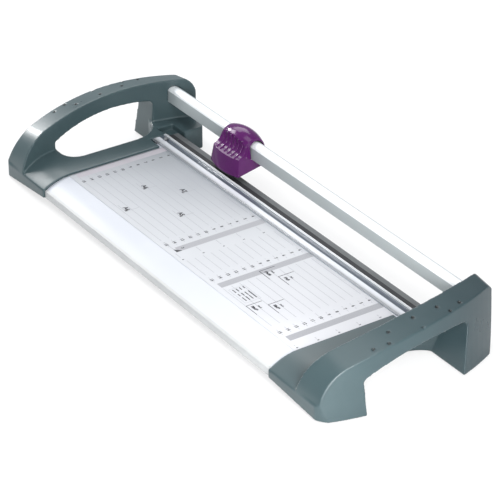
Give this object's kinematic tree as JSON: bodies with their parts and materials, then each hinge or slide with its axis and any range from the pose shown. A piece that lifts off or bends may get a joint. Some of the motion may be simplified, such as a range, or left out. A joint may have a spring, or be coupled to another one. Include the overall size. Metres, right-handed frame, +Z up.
{
  "type": "paper cutter",
  "caption": "Desk paper cutter: ruled white table between two arched end caps, a clear pressing strip, and a round blade in a purple head that slides along a rail.",
  "frame": {"origin": "bottom centre of the whole machine, on the surface that it stands on", "axes": "+X along the cut from the far end to the near end of the picture, +Y from the operator's side to the rail, +Z up"},
  "size_m": [0.641, 0.2282, 0.0786],
  "materials": {
    "board": "satin white coating",
    "edging": "satin",
    "sheet": "printed film, satin",
    "steel": "brushed",
    "channel": "satin dark grey",
    "mat": "matt",
    "cap": "satin dark teal grey",
    "bracket": "matt",
    "rail": "satin anodised",
    "feet": "matt",
    "strip": "clear, glossy",
    "grip": "matt",
    "liner": "smooth",
    "head": "glossy deep purple",
    "dark": "satin",
    "blade": "ground"
  },
  "bodies": {
    "base": {"base_board": "board", "front_edging": "edging", "scale_sheet": "sheet", "stiffener_front": "steel", "stiffener_rear": "steel", "rear_channel": "channel", "cutting_mat": "mat", "end_cap_left": "cap", "end_cap_right": "cap", "end_bracket_left": "bracket", "end_bracket_right": "bracket", "guide_rail": "rail", "rail_screws": "steel", "frame_screws": "steel", "rubber_feet": "feet", "clamp_pins": "steel", "clamp_spring_left": "steel", "clamp_spring_right": "steel"},
    "clamp": {"clamp_strip": "strip", "clamp_grip": "grip"},
    "carriage": {"carriage": "dark", "glide_liner": "liner", "head_spring_left": "steel", "head_spring_right": "steel"},
    "cutter_head": {"head_shell": "head", "head_guide_pins": "steel", "blade_holder": "dark", "holder_screws": "steel", "blade_guard": "dark", "blade_axle": "steel"},
    "blade": {"cutting_blade": "blade"}
  },
  "joints": [
    {"name": "strip_press", "type": "slide", "parent": "base", "child": "clamp", "axis": [0, 0, -1], "range_m": [0, 0.0007], "stiffness_N_per_m": 300, "springref_m": -0.002, "deforming": ["clamp_spring_left", "clamp_spring_right"]},
    {"name": "head_slide", "type": "slide", "parent": "base", "child": "carriage", "axis": [1, 0, 0], "range_m": [-0.1068, 0.3557]},
    {"name": "head_press", "type": "slide", "parent": "carriage", "child": "cutter_head", "axis": [0, 0, -1], "range_m": [0, 0.0012], "stiffness_N_per_m": 1500, "springref_m": -0.002, "deforming": ["head_spring_left", "head_spring_right"]},
    {"name": "blade_spin", "type": "hinge", "parent": "cutter_head", "child": "blade", "pos_m": [-0.12445, 0.06575, 0.0392], "axis": [0, 1, 0], "continuous": true}
  ]
}
